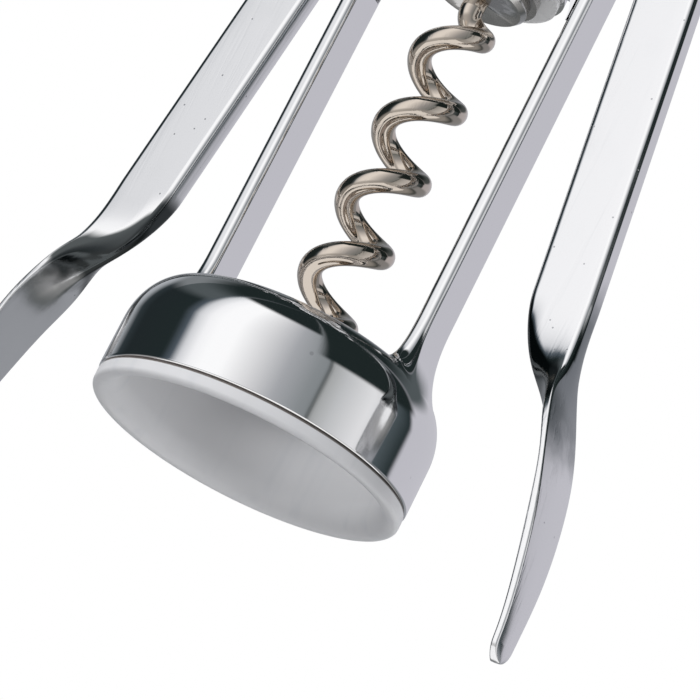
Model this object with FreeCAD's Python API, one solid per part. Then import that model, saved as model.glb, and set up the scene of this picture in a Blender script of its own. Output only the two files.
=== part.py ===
import FreeCAD, Part
import os
from math import acos, asin, ceil, cos, floor, hypot, pi, radians, sin, sqrt, tan

# Wing corkscrew. Millimetres. The origin is the centre of the bell's mouth, in the plane of the liner's lip.
# +Z runs up the worm to the handle, X runs across the two wings, and -Y is the front.

# Bell ring
BELL_R = 18.6
BELL_FOOT_DRAFT = 0.0
BELL_SHOULDER_Z = 7.9
BELL_SHOULDER_ROUND = 4.7
BELL_SHOULDER_RISE = 6.5
SHOULDER_POINTS = 9
BELL_WALL = 1.2
CORK_RIM_W = 6.0
CORK_HOLE_EDGE = 0.45

# Liner
LIP_INSET = 0.1
LIP_H = 1.8
LIP_ROUND = 0.55
LINER_WALL = 1.8
LINER_SHOULDER_GAP = 0.3
MOUTH_RIM_W = 0.8
MOUTH_FLARE_H = 3.2
SEAT_TOP_Z = 11.2
LINER_HOLE_INSET = 0.4

# Arms of the frame
ARM_OUTER_X = 15.2
ARM_T = 1.85
ARM_W = 5.3
ARM_EDGE = 0.6
FOOT_SPREAD = 3.2
FOOT_H = 6.5
FOOT_TOP_H = 7.5

# Gearing
MODULE = 1.5
PINION_TEETH = 16
PRESSURE_ANGLE = 20.0
FLANK_POINTS = 5
RACK_ADDENDUM = 1.3
PINION_ADDENDUM = 1.5
DEDENDUM = 1.875
BACKLASH = 0.24
RACK_PITCH_R = 4.6
LEVER_SWING = 150.0
TEETH_BELOW_CONTACT = 2
TEETH_ABOVE_CONTACT = 9

# Head
PIVOT_Z = 86.0
HEAD_BOTTOM_Z = 64.0
COLUMN_R = 9.2
COLLAR_R = 11.3
COLLAR_EDGE = 0.8
CHEEK_T = 2.8
EAR_R = 5.0
BRIDGE_H = 6.2
BRIDGE_FILLET = 5.0
SLOT_SIDE_GAP = 0.25
SLOT_END_GAP = 0.7
COLUMN_BORE_GAP = 0.4

# Running fit and pins
RUN_FIT = 0.05
END_PLAY = 0.15
PIVOT_PIN_R = 2.0
RIVET_HEAD_R = 3.1
RIVET_HEAD_H = 0.9
WORM_PIN_R = 0.6
HANDLE_PIN_R = 1.25

# Guide bushes, rings and washer
BUSH_WALL = 1.45
BUSH_H = 5.6
BUSH_FLANGE_W = 1.3
BUSH_FLANGE_H = 1.0
RING_T = 1.0
RING_GROOVE = 0.45
RING_MOUTH_W = 1.5
RING_INNER_GAP = 1.0
TOP_RIM_H = 0.8
STOP_RING_W = 1.6
STOP_RING_GROOVE = 0.8
WASHER_W = 2.6
WASHER_T = 1.2
BUMP_GAP = 0.4

# Rack shaft
SHAFT_TAIL_H = 1.6
SHAFT_EDGE = 0.5
SOCKET_DEPTH = 12.0

# Worm
WIRE_R = 1.38
HELIX_R = 3.28
HELIX_PITCH = 9.52
STATIONS_PER_TURN = 6
HELIX_OFF_X = 0.45
HELIX_RIGHTMOST_Z = 18.15
HELIX_RIGHTMOST_ANGLE = 33.0
WORM_TIP_Z = 14.2
WORM_POINT_L = 4.6
WORM_POINT_R = 0.25
WORM_NECK_TURN = 0.5
WORM_NECK_GAP = 1.2
WORM_SHANK_L = 12.0

# Levers
LEVER_T = 2.8
BAR_W = 7.5
BAR_INNER_X = 23.07
BAR_LEVEL_Z = 35.0
BAR_LEAN = 7.62
BAR_CORNER_DEPTH = 1.9
HEEL_Z = 27.5
PADDLE_TIP_Z = -13.0
PADDLE_TIP_R = 1.95
# Height, outer face, flange corner, keel, and half widths at the outer face, the flange corner and the keel
PADDLE_SECTIONS = (
    (22.5, 32.30, 26.90, 25.60, 1.60, 1.40, 0.90),
    (19.0, 32.90, 29.90, 27.80, 2.50, 1.80, 0.55),
    (16.5, 33.45, 31.90, 30.00, 3.65, 3.20, 0.45),
    (14.0, 34.35, 33.10, 32.00, 4.20, 4.10, 0.60),
    (9.5, 36.00, 35.00, 34.70, 4.40, 4.42, 1.20),
    (4.8, 37.40, 36.20, 36.00, 4.00, 4.04, 1.60),
    (-3.7, 39.00, 37.80, 37.60, 3.05, 3.09, 1.60),
    (-13.0, 39.60, 38.60, 38.40, 2.00, 2.04, 1.00),
)

# Handle
HANDLE_STEM_R = 8.0
HANDLE_STEM_H = 14.0
HANDLE_EDGE = 1.0
LOOP_R = 17.0
LOOP_RISE = 27.0
LOOP_T = 5.0
LOOP_RIM = 4.6
LOOP_EDGE = 1.4
NECK_W = 13.0
OPENER_TOOTH_W = 7.0
OPENER_TOOTH_H = 3.2
OPENER_SEAT_W = 17.0

# Sizes worked out from the ones above
PITCH = pi * MODULE
PINION_PITCH_R = MODULE * PINION_TEETH / 2
PIVOT_X = RACK_PITCH_R + PINION_PITCH_R
TRAVEL = PINION_PITCH_R * radians(LEVER_SWING)
SHAFT_R = RACK_PITCH_R + RACK_ADDENDUM
RACK_ROOT_R = RACK_PITCH_R - DEDENDUM
PINION_TIP_R = PINION_PITCH_R + PINION_ADDENDUM
PINION_ROOT_R = PINION_PITCH_R - DEDENDUM
ARM_INNER_X = ARM_OUTER_X - ARM_T
BELL_FOOT_R = BELL_R + BELL_FOOT_DRAFT
SHOULDER_CENTRE_R = BELL_R - BELL_SHOULDER_ROUND
BELL_INNER_R = BELL_R - BELL_WALL
CORK_HOLE_R = BELL_R - CORK_RIM_W
LINER_HOLE_R = CORK_HOLE_R - LINER_HOLE_INSET
LIP_R = BELL_R - LIP_INSET
MOUTH_R = LIP_R - MOUTH_RIM_W
SEAT_R = BELL_INNER_R - LINER_WALL
SLOT_HALF = LEVER_T / 2 + SLOT_SIDE_GAP
CHEEK_OUTER_Y = SLOT_HALF + CHEEK_T
SLOT_BOTTOM_Z = PIVOT_Z - PINION_TIP_R - SLOT_END_GAP
SLOT_TOP_Z = PIVOT_Z + PINION_TIP_R + SLOT_END_GAP
BUSH_INNER_R = SHAFT_R + RUN_FIT
BUSH_OUTER_R = BUSH_INNER_R + BUSH_WALL
FLANGE_R = BUSH_OUTER_R + BUSH_FLANGE_W
GUIDE_Z0 = SLOT_TOP_Z + SLOT_END_GAP
GUIDE_FLANGE_Z = GUIDE_Z0 + BUSH_H
RING_Z = GUIDE_FLANGE_Z + BUSH_FLANGE_H + END_PLAY
HEAD_TOP_Z = RING_Z + RING_T + TOP_RIM_H
BEARING_Z = HEAD_BOTTOM_Z - BUSH_FLANGE_H
STOP_RING_Z = BEARING_Z - END_PLAY - RING_T
SHAFT_BOTTOM_Z = STOP_RING_Z - SHAFT_TAIL_H
HANDLE_Z = HEAD_TOP_Z + TRAVEL + BUMP_GAP + WASHER_T
SHAFT_TOP_Z = HANDLE_Z + SOCKET_DEPTH
HANDLE_PIN_Z = HANDLE_Z + SOCKET_DEPTH / 2
LOOP_Z = HANDLE_Z + LOOP_RISE
WORM_PIN_Z = SHAFT_BOTTOM_Z + WORM_SHANK_L / 2


def vec(x, y, z):
    return FreeCAD.Vector(x, y, z)


def xz(x, z):
    return FreeCAD.Vector(x, 0, z)


def yz(y, z):
    return FreeCAD.Vector(0, y, z)


def line(a, b):
    return Part.LineSegment(a, b).toShape()


def arc(a, middle, b):
    return Part.Arc(a, middle, b).toShape()


def smooth(points):
    curve = Part.BSplineCurve()
    curve.interpolate(points)
    return curve.toShape()


def smooth_between(points, start_dir, end_dir):
    curve = Part.BSplineCurve()
    curve.interpolate(Points=points, InitialTangent=start_dir, FinalTangent=end_dir)
    return curve.toShape()


def path(points):
    return [line(a, b) for a, b in zip(points, points[1:])]


def face(edges):
    return Part.Face(Part.Wire(edges))


def outline(points):
    return face(path(points + points[:1]))


def turned(shape):
    return shape.revolve(vec(0, 0, 0), vec(0, 0, 1), 360)


def tube(outer, inner, z, height):
    return rod(outer, z, height).cut(rod(inner, z, height))


def rod(radius, z, height):
    return Part.makeCylinder(radius, height, vec(0, 0, z))


def cross_rod(radius, half_length, x, z):
    return Part.makeCylinder(radius, 2 * half_length, vec(x, -half_length, z), vec(0, 1, 0))


def block(x0, x1, half_y, z0, z1):
    return Part.makeBox(x1 - x0, 2 * half_y, z1 - z0, vec(x0, -half_y, z0))


def thick_y(flat, half):
    solid = flat.extrude(vec(0, 2 * half, 0))
    solid.translate(vec(0, -half, 0))
    return solid


def thick_x(flat, x0, x1):
    solid = flat.extrude(vec(x1 - x0, 0, 0))
    solid.translate(vec(x0, 0, 0))
    return solid


def mirrored(shape):
    return shape.mirror(vec(0, 0, 0), vec(1, 0, 0))


def on_shoulder(radius, angle):
    rise = radius + BELL_SHOULDER_RISE - BELL_SHOULDER_ROUND
    return xz(SHOULDER_CENTRE_R + radius * cos(angle), BELL_SHOULDER_Z + rise * sin(angle))


def shoulder_curve(radius, start, end):
    step = (end - start) / (SHOULDER_POINTS - 1)
    return smooth([on_shoulder(radius, start + step * count) for count in range(SHOULDER_POINTS)])


def shoulder_angle(radius, at_r):
    return acos((at_r - SHOULDER_CENTRE_R) / radius)


def bell_height(at_r):
    return on_shoulder(BELL_SHOULDER_ROUND, shoulder_angle(BELL_SHOULDER_ROUND, at_r)).z


# The bell is one turned wall with a round shoulder and a hole in its top for the cork.
def bell():
    outer = BELL_SHOULDER_ROUND
    inner = BELL_SHOULDER_ROUND - BELL_WALL
    top = shoulder_angle(outer, CORK_HOLE_R + CORK_HOLE_EDGE)
    under = shoulder_angle(inner, CORK_HOLE_R)
    rim = on_shoulder(outer, top)
    lower = on_shoulder(inner, under)
    rim_in = xz(CORK_HOLE_R, rim.z - CORK_HOLE_EDGE)
    bend = CORK_HOLE_EDGE * (1 - sqrt(0.5))
    edges = [
        line(xz(BELL_INNER_R, LIP_H), xz(BELL_FOOT_R, LIP_H)),
        line(xz(BELL_FOOT_R, LIP_H), xz(BELL_R, BELL_SHOULDER_Z)),
        shoulder_curve(outer, 0, top),
        arc(rim, xz(CORK_HOLE_R + bend, rim.z - bend), rim_in),
        line(rim_in, lower),
        shoulder_curve(inner, under, 0),
        line(xz(BELL_INNER_R, BELL_SHOULDER_Z), xz(BELL_INNER_R, LIP_H)),
    ]
    return turned(face(edges))


# The liner is a pressed-in cup whose lip covers the bell's edge, and its ceiling stops the bottle.
def bell_liner():
    gap_r = BELL_SHOULDER_ROUND - BELL_WALL - LINER_SHOULDER_GAP
    low = asin(LINER_SHOULDER_GAP / (BELL_SHOULDER_ROUND - BELL_WALL))
    top = shoulder_angle(gap_r, LINER_HOLE_R)
    lip_bend = LIP_ROUND * (1 - sqrt(0.5))
    mouth_round = MOUTH_R - SEAT_R
    mouth_bend = mouth_round * (1 - sqrt(0.5))
    start = xz(BELL_INNER_R, BELL_SHOULDER_Z)
    rise = on_shoulder(gap_r, low)
    crest = on_shoulder(gap_r, top)
    edges = [
        line(xz(MOUTH_R, 0), xz(LIP_R - LIP_ROUND, 0)),
        arc(xz(LIP_R - LIP_ROUND, 0), xz(LIP_R - lip_bend, lip_bend), xz(LIP_R, LIP_ROUND)),
        line(xz(LIP_R, LIP_ROUND), xz(LIP_R, LIP_H)),
        line(xz(LIP_R, LIP_H), xz(BELL_INNER_R, LIP_H)),
        line(xz(BELL_INNER_R, LIP_H), start),
        line(start, rise),
        shoulder_curve(gap_r, low, top),
        line(crest, xz(LINER_HOLE_R, SEAT_TOP_Z)),
        line(xz(LINER_HOLE_R, SEAT_TOP_Z), xz(SEAT_R, SEAT_TOP_Z)),
        line(xz(SEAT_R, SEAT_TOP_Z), xz(SEAT_R, MOUTH_FLARE_H)),
        arc(
            xz(SEAT_R, MOUTH_FLARE_H),
            xz(SEAT_R + mouth_bend, MOUTH_FLARE_H * (1 - sqrt(0.5))),
            xz(MOUTH_R, 0),
        ),
    ]
    return turned(face(edges))


# One arm is a straight strap on a foot that spreads down onto the shoulder and out along it.
def arm():
    foot_z = bell_height(ARM_OUTER_X) - BELL_WALL / 2
    top_z = HEAD_BOTTOM_Z + BRIDGE_H / 2
    strap = block(ARM_INNER_X, ARM_OUTER_X, ARM_W / 2, foot_z, top_z)
    rounded = [
        edge for edge in strap.Edges
        if edge.Length > top_z - foot_z - ARM_EDGE and edge.BoundBox.XLength < ARM_EDGE
    ]
    strap = strap.makeFillet(min(ARM_EDGE, ARM_T / 3), rounded)
    half = ARM_W / 2
    crest = bell_height(max(ARM_INNER_X, SHOULDER_CENTRE_R))
    base = crest - BELL_WALL
    side = face([
        smooth_between([yz(half, crest + FOOT_H), yz(half + FOOT_SPREAD, base)], vec(0, 0, -1), vec(0, 1, -0.25)),
        line(yz(half + FOOT_SPREAD, base), yz(-half - FOOT_SPREAD, base)),
        smooth_between([yz(-half - FOOT_SPREAD, base), yz(-half, crest + FOOT_H)], vec(0, 1, 0.25), vec(0, 0, 1)),
        line(yz(-half, crest + FOOT_H), yz(half, crest + FOOT_H)),
    ])
    out_x = ARM_OUTER_X + FOOT_SPREAD / 2
    out_z = bell_height(out_x) - BELL_WALL / 4
    front = face([
        line(xz(ARM_INNER_X, base), xz(ARM_INNER_X, crest + FOOT_TOP_H)),
        line(xz(ARM_INNER_X, crest + FOOT_TOP_H), xz(ARM_OUTER_X, crest + FOOT_TOP_H)),
        smooth_between([xz(ARM_OUTER_X, crest + FOOT_TOP_H), xz(out_x, out_z)], vec(0, 0, -1), vec(0.75, 0, -1)),
        line(xz(out_x, out_z), xz(out_x - BELL_WALL / 2, base)),
        line(xz(out_x - BELL_WALL / 2, base), xz(ARM_INNER_X, base)),
    ])
    foot = thick_y(front, half + FOOT_SPREAD).common(thick_x(side, ARM_INNER_X, out_x))
    return strap.fuse(foot)


# The bridge joins both arms to the head's column.
def bridge():
    low = HEAD_BOTTOM_Z - BRIDGE_FILLET
    flat = face([
        line(xz(-ARM_OUTER_X, low), xz(-ARM_OUTER_X, HEAD_BOTTOM_Z + BRIDGE_H)),
        line(xz(-ARM_OUTER_X, HEAD_BOTTOM_Z + BRIDGE_H), xz(ARM_OUTER_X, HEAD_BOTTOM_Z + BRIDGE_H)),
        line(xz(ARM_OUTER_X, HEAD_BOTTOM_Z + BRIDGE_H), xz(ARM_OUTER_X, low)),
        line(xz(ARM_OUTER_X, low), xz(ARM_INNER_X, low)),
        smooth_between(
            [xz(ARM_INNER_X, low), xz(COLUMN_R, HEAD_BOTTOM_Z)],
            vec(0, 0, 1), vec(-1, 0, 0.3),
        ),
        line(xz(COLUMN_R, HEAD_BOTTOM_Z), xz(-COLUMN_R, HEAD_BOTTOM_Z)),
        smooth_between(
            [xz(-COLUMN_R, HEAD_BOTTOM_Z), xz(-ARM_INNER_X, low)],
            vec(-1, 0, -0.3), vec(0, 0, -1),
        ),
        line(xz(-ARM_INNER_X, low), xz(-ARM_OUTER_X, low)),
    ])
    return thick_y(flat, ARM_W / 2)


# The head is a column with a slot for each pinion and an ear at each end of each pivot pin.
def head():
    column = rod(COLUMN_R, HEAD_BOTTOM_Z, GUIDE_Z0 - HEAD_BOTTOM_Z)
    collar = rod(COLLAR_R, GUIDE_Z0 - SLOT_END_GAP, HEAD_TOP_Z - GUIDE_Z0 + SLOT_END_GAP)
    rims = [edge for edge in collar.Edges if edge.BoundBox.ZLength < COLLAR_EDGE]
    collar = collar.makeFillet(COLLAR_EDGE, rims)
    ear_flat = outline([
        xz(0, PIVOT_Z - EAR_R - COLUMN_R),
        xz(PIVOT_X, PIVOT_Z - EAR_R),
        xz(PIVOT_X, PIVOT_Z + EAR_R),
        xz(0, PIVOT_Z + EAR_R + COLUMN_R / 2),
    ])
    ear = thick_y(ear_flat, CHEEK_OUTER_Y).fuse(cross_rod(EAR_R, CHEEK_OUTER_Y, PIVOT_X, PIVOT_Z))
    solid = column.fuse([collar, ear, mirrored(ear), bridge()])
    slot = block(-PIVOT_X - EAR_R, PIVOT_X + EAR_R, SLOT_HALF, SLOT_BOTTOM_Z, SLOT_TOP_Z)
    bore = rod(SHAFT_R + COLUMN_BORE_GAP, HEAD_BOTTOM_Z, HEAD_TOP_Z - HEAD_BOTTOM_Z)
    bearing_seat = rod(BUSH_OUTER_R, HEAD_BOTTOM_Z, BUSH_H)
    guide_seat = rod(BUSH_OUTER_R + RUN_FIT, GUIDE_Z0 - END_PLAY, HEAD_TOP_Z - GUIDE_Z0 + END_PLAY)
    flange_seat = rod(FLANGE_R + RUN_FIT, GUIDE_FLANGE_Z - END_PLAY, HEAD_TOP_Z - GUIDE_FLANGE_Z + END_PLAY)
    ring_groove = rod(FLANGE_R + RING_GROOVE, RING_Z, RING_T)
    pin_hole = cross_rod(PIVOT_PIN_R, CHEEK_OUTER_Y, PIVOT_X, PIVOT_Z)
    return solid.cut([
        slot, bore, bearing_seat, guide_seat, flange_seat, ring_groove, pin_hole, mirrored(pin_hole)
    ])


def frame():
    return bell().fuse([arm(), mirrored(arm()), head()]).removeSplitter()


def pivot_pin(side):
    shank = cross_rod(PIVOT_PIN_R, CHEEK_OUTER_Y, side * PIVOT_X, PIVOT_Z)
    dome_r = (RIVET_HEAD_R ** 2 + RIVET_HEAD_H ** 2) / (2 * RIVET_HEAD_H)
    for way in (-1, 1):
        centre = vec(side * PIVOT_X, way * (CHEEK_OUTER_Y + RIVET_HEAD_H - dome_r), PIVOT_Z)
        room = Part.makeCylinder(
            RIVET_HEAD_R, RIVET_HEAD_H, vec(side * PIVOT_X, way * CHEEK_OUTER_Y, PIVOT_Z), vec(0, way, 0)
        )
        shank = shank.fuse(Part.makeSphere(dome_r, centre).common(room))
    return shank.removeSplitter()


def involute_half_angle(radius):
    base_r = PINION_PITCH_R * cos(radians(PRESSURE_ANGLE))
    at = acos(min(1, base_r / radius))
    start = radians(PRESSURE_ANGLE)
    pitch_half = (PITCH - BACKLASH) / 4 / PINION_PITCH_R
    return pitch_half + (tan(start) - start) - (tan(at) - at)


# One pinion tooth, pointing along the angle measured from the rack side towards the handle.
def pinion_tooth(angle):
    base_r = PINION_PITCH_R * cos(radians(PRESSURE_ANGLE))

    def at(radius, offset):
        turn = angle + offset
        return xz(PIVOT_X - radius * cos(turn), PIVOT_Z + radius * sin(turn))

    rise = (PINION_TIP_R - base_r) / (FLANK_POINTS - 1)
    radii = [base_r + rise * count for count in range(FLANK_POINTS)]
    left = [at(radius, -involute_half_angle(radius)) for radius in radii]
    right = [at(radius, involute_half_angle(radius)) for radius in radii]
    root_half = involute_half_angle(base_r)
    deep = PINION_ROOT_R - MODULE
    edges = [
        line(at(deep, -root_half), left[0]),
        smooth(left),
        line(left[-1], right[-1]),
        smooth(right[::-1]),
        line(right[0], at(deep, root_half)),
        line(at(deep, root_half), at(deep, -root_half)),
    ]
    return thick_y(face(edges), LEVER_T / 2)


def bar_inner_x(z):
    return BAR_INNER_X + (BAR_LEVEL_Z - z) * tan(radians(BAR_LEAN))


def bar_outer_x(z):
    return bar_inner_x(z) + BAR_W / cos(radians(BAR_LEAN))


# One section through a paddle: a flange on the outer side, with a keel that runs on from the bar on the inner side.
def paddle_section(z, outer_x, corner_x, keel_x, outer_half, corner_half, keel_half):
    points = [
        vec(outer_x, -outer_half, z),
        vec(outer_x, outer_half, z),
        vec(corner_x, corner_half, z),
        vec(keel_x, keel_half, z),
        vec(keel_x, -keel_half, z),
        vec(corner_x, -corner_half, z),
    ]
    return Part.Wire(path(points + points[:1]))


def bar_section(z):
    outer_x = bar_outer_x(z)
    inner_x = bar_inner_x(z)
    half = LEVER_T / 2
    return paddle_section(z, outer_x, inner_x + BAR_CORNER_DEPTH, inner_x, half, half, half)


# The paddle goes on from the bar's foot, and its tip is round seen from the side.
def paddle():
    wires = [bar_section(HEEL_Z)] + [paddle_section(*section) for section in PADDLE_SECTIONS]
    body = Part.makeLoft(wires, True, False)
    tip_z = PADDLE_TIP_Z + PADDLE_TIP_R
    widest = max(max(section[4:6]) for section in PADDLE_SECTIONS)
    deepest = max(section[1] for section in PADDLE_SECTIONS)
    room = block(0, deepest, widest, tip_z, HEEL_Z)
    end = Part.makeCylinder(PADDLE_TIP_R, deepest, vec(0, 0, tip_z), vec(1, 0, 0))
    return body.common(room.fuse(end))


def right_lever():
    bar = Part.makeLoft([bar_section(PIVOT_Z), bar_section(HEEL_Z)], True, True)
    disc = cross_rod(PINION_ROOT_R, LEVER_T / 2, PIVOT_X, PIVOT_Z)
    step = 2 * pi / PINION_TEETH
    teeth = [
        pinion_tooth((count + 0.5) * step)
        for count in range(-TEETH_BELOW_CONTACT, TEETH_ABOVE_CONTACT)
    ]
    hole = cross_rod(PIVOT_PIN_R + RUN_FIT, LEVER_T, PIVOT_X, PIVOT_Z)
    return bar.fuse([paddle(), disc] + teeth).cut(hole).removeSplitter()


# The rack is a row of rings round the shaft, so it meshes at any turn of the handle.
def rack_ring_profile():
    slope = tan(radians(PRESSURE_ANGLE))
    half_pitch = (PITCH - BACKLASH) / 4
    tip_half = half_pitch - RACK_ADDENDUM * slope
    root_half = half_pitch + DEDENDUM * slope
    first = -ceil(PINION_TIP_R / PITCH / 2)
    last = floor((TRAVEL + PINION_TIP_R) / PITCH)
    points = []
    for count in range(first, last + 1):
        middle = PIVOT_Z + count * PITCH
        points.append(xz(RACK_ROOT_R, middle - root_half))
        points.append(xz(SHAFT_R, middle - tip_half))
        points.append(xz(SHAFT_R, middle + tip_half))
        points.append(xz(RACK_ROOT_R, middle + root_half))
    return points[1:-1]


def rack_shaft():
    groove_r = SHAFT_R - STOP_RING_GROOVE
    points = [
        xz(0, SHAFT_BOTTOM_Z),
        xz(SHAFT_R - SHAFT_EDGE, SHAFT_BOTTOM_Z),
        xz(SHAFT_R, SHAFT_BOTTOM_Z + SHAFT_EDGE),
        xz(SHAFT_R, STOP_RING_Z),
        xz(groove_r, STOP_RING_Z),
        xz(groove_r, STOP_RING_Z + RING_T),
        xz(SHAFT_R, STOP_RING_Z + RING_T),
    ]
    points += rack_ring_profile()
    points += [
        xz(SHAFT_R, SHAFT_TOP_Z - SHAFT_EDGE),
        xz(SHAFT_R - SHAFT_EDGE, SHAFT_TOP_Z),
        xz(0, SHAFT_TOP_Z),
    ]
    solid = turned(outline(points))
    return solid.cut([
        rod(WIRE_R, SHAFT_BOTTOM_Z, WORM_SHANK_L),
        cross_rod(WORM_PIN_R, SHAFT_R, 0, WORM_PIN_Z),
        cross_rod(HANDLE_PIN_R, SHAFT_R, 0, HANDLE_PIN_Z),
    ])


# The worm's line: a right-handed helix that winds in to the axis at the top and goes straight up.
def worm_angle(z):
    return radians(HELIX_RIGHTMOST_ANGLE) + 2 * pi * (z - HELIX_RIGHTMOST_Z) / HELIX_PITCH


def worm_point(z, helix_top):
    neck = WORM_NECK_TURN * HELIX_PITCH
    share = min(1, max(0, (z - helix_top) / neck))
    ease = 1 - share * share * (3 - 2 * share)
    radius = HELIX_R * ease
    return vec(HELIX_OFF_X * ease + radius * cos(worm_angle(z)), radius * sin(worm_angle(z)), z)


def worm_tangent(z, helix_top):
    step = HELIX_PITCH / 1000
    way = worm_point(z + step, helix_top) - worm_point(z - step, helix_top)
    return way.normalize()


def arc_from(a, tangent, b):
    chord = b - a
    half_angle = tangent.getAngle(chord)
    if half_angle < 1e-6:
        return line(a, b)
    corner = a + tangent * (chord.Length / 2 / cos(half_angle))
    middle = (a + b) * 0.5
    share = tan(half_angle / 2) / tan(half_angle)
    return arc(a, middle + (corner - middle) * share, b)


def biarc(a, start, b, end):
    gap = b - a
    total = start + end
    turn = 2 * (1 - start.dot(end))
    along = gap.dot(total)
    if turn < 1e-9:
        reach = gap.Length ** 2 / (2 * along)
    else:
        reach = (sqrt(along * along + turn * gap.Length ** 2) - along) / turn
    joint = (a + b + (start - end) * reach) * 0.5
    back = arc_from(b, end * -1, joint)
    first = arc_from(a, start, joint)
    return [first, back]


def worm():
    shank_top = SHAFT_BOTTOM_Z + WORM_SHANK_L
    axis_z = SHAFT_BOTTOM_Z - WORM_NECK_GAP
    helix_top = axis_z - WORM_NECK_TURN * HELIX_PITCH
    start_z = WORM_TIP_Z + WORM_POINT_L * HELIX_PITCH / hypot(HELIX_PITCH, 2 * pi * HELIX_R)
    count = ceil((axis_z - start_z) / HELIX_PITCH * STATIONS_PER_TURN)
    stations = [start_z + (axis_z - start_z) * step / count for step in range(count + 1)]
    edges = []
    for low, high in zip(stations, stations[1:]):
        end = vec(0, 0, 1) if high == stations[-1] else worm_tangent(high, helix_top)
        edges += biarc(worm_point(low, helix_top), worm_tangent(low, helix_top), worm_point(high, helix_top), end)
    edges.append(line(vec(0, 0, axis_z), vec(0, 0, shank_top)))
    spine = Part.Wire(Part.sortEdges(edges)[0])
    foot = worm_point(start_z, helix_top)
    aim = worm_tangent(start_z, helix_top)
    section = Part.Wire(Part.makeCircle(WIRE_R, foot, aim))
    shell = Part.BRepOffsetAPI.MakePipeShell(spine)
    shell.add(section)
    shell.build()
    shell.makeSolid()
    wire = shell.shape()
    point = Part.makeCone(WORM_POINT_R, WIRE_R, WORM_POINT_L, foot - aim * WORM_POINT_L, aim)
    print("worm tube volume over section times length", wire.Volume / (pi * WIRE_R ** 2 * spine.Length))
    return wire.fuse(point).cut(cross_rod(WORM_PIN_R, SHAFT_R, 0, WORM_PIN_Z))


def worm_pin():
    return cross_rod(WORM_PIN_R, SHAFT_R - RUN_FIT * 2, 0, WORM_PIN_Z)


def handle_pin():
    return cross_rod(HANDLE_PIN_R, HANDLE_STEM_R - RUN_FIT * 2, 0, HANDLE_PIN_Z)


def guide_bush():
    sleeve = tube(BUSH_OUTER_R, BUSH_INNER_R, GUIDE_Z0, BUSH_H)
    return sleeve.fuse(tube(FLANGE_R, BUSH_INNER_R, GUIDE_FLANGE_Z, BUSH_FLANGE_H)).removeSplitter()


def shaft_bearing():
    sleeve = tube(BUSH_OUTER_R, BUSH_INNER_R, HEAD_BOTTOM_Z, BUSH_H)
    return sleeve.fuse(tube(FLANGE_R, BUSH_INNER_R, BEARING_Z, BUSH_FLANGE_H)).removeSplitter()


# An open spring ring with a narrow gap at the back.
def open_ring(outer, inner, z):
    mouth = Part.makeBox(RING_MOUTH_W, outer, RING_T, vec(-RING_MOUTH_W / 2, 0, z))
    return tube(outer, inner, z, RING_T).cut(mouth)


def guide_ring():
    return open_ring(FLANGE_R + RING_GROOVE, SHAFT_R + RING_INNER_GAP, RING_Z)


def stop_ring():
    groove_r = SHAFT_R - STOP_RING_GROOVE
    return open_ring(groove_r + STOP_RING_W, groove_r, STOP_RING_Z)


def handle_washer():
    return tube(SHAFT_R + WASHER_W, SHAFT_R, HANDLE_Z - WASHER_T, WASHER_T)


# The handle is a round socket with a flat loop on it, whose opening lifts crown caps.
def handle():
    stem = rod(HANDLE_STEM_R, HANDLE_Z, HANDLE_STEM_H)
    rims = [edge for edge in stem.Edges if edge.BoundBox.ZLength < HANDLE_EDGE]
    stem = stem.makeFillet(HANDLE_EDGE, rims)
    edge_r = min(LOOP_EDGE, LOOP_T / 3)
    disc = cross_rod(LOOP_R, LOOP_T / 2, 0, LOOP_Z)
    disc = disc.makeFillet(edge_r, [edge for edge in disc.Edges if edge.BoundBox.YLength < edge_r])
    neck = block(-NECK_W / 2, NECK_W / 2, LOOP_T / 2, HANDLE_Z + HANDLE_STEM_H / 2, LOOP_Z)
    uprights = [edge for edge in neck.Edges if edge.BoundBox.ZLength > HANDLE_STEM_H]
    plate = disc.fuse(neck.makeFillet(edge_r, uprights))
    hole_r = LOOP_R - LOOP_RIM
    seat_z = LOOP_Z - sqrt(hole_r ** 2 - (OPENER_SEAT_W / 2) ** 2)
    hole = cross_rod(hole_r, LOOP_T, 0, LOOP_Z)
    hole = hole.cut(block(-hole_r, hole_r, LOOP_T, LOOP_Z - hole_r, seat_z))
    hole = hole.cut(block(-OPENER_TOOTH_W / 2, OPENER_TOOTH_W / 2, LOOP_T, seat_z, seat_z + OPENER_TOOTH_H))
    loop = plate.cut(hole)
    socket = rod(SHAFT_R, HANDLE_Z, SOCKET_DEPTH)
    solid = stem.fuse(loop).cut([socket, cross_rod(HANDLE_PIN_R, HANDLE_STEM_R, 0, HANDLE_PIN_Z)])
    return solid.removeSplitter()


def save(name, shape):
    shape.exportStep("parts/" + name + ".step")
    print(name, "solids", len(shape.Solids), "valid", shape.isValid(), "volume", round(shape.Volume, 1))


os.makedirs("parts", exist_ok=True)
wing = right_lever()
save("frame", frame())
save("bell_liner", bell_liner())
save("right_lever", wing)
save("left_lever", mirrored(wing))
save("right_pivot_pin", pivot_pin(1))
save("left_pivot_pin", pivot_pin(-1))
save("rack_shaft", rack_shaft())
save("worm", worm())
save("worm_pin", worm_pin())
save("guide_bush", guide_bush())
save("guide_ring", guide_ring())
save("shaft_bearing", shaft_bearing())
save("stop_ring", stop_ring())
save("handle", handle())
save("handle_washer", handle_washer())
save("handle_pin", handle_pin())
print("travel", TRAVEL, "ratio", 1000 / PINION_PITCH_R, "pivot", PIVOT_X, PIVOT_Z)
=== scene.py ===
from math import acos, cos, hypot, pi, radians, sin, sqrt, tan

import bmesh
import bpy
import numpy as np
from mathutils import Matrix, Vector


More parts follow.
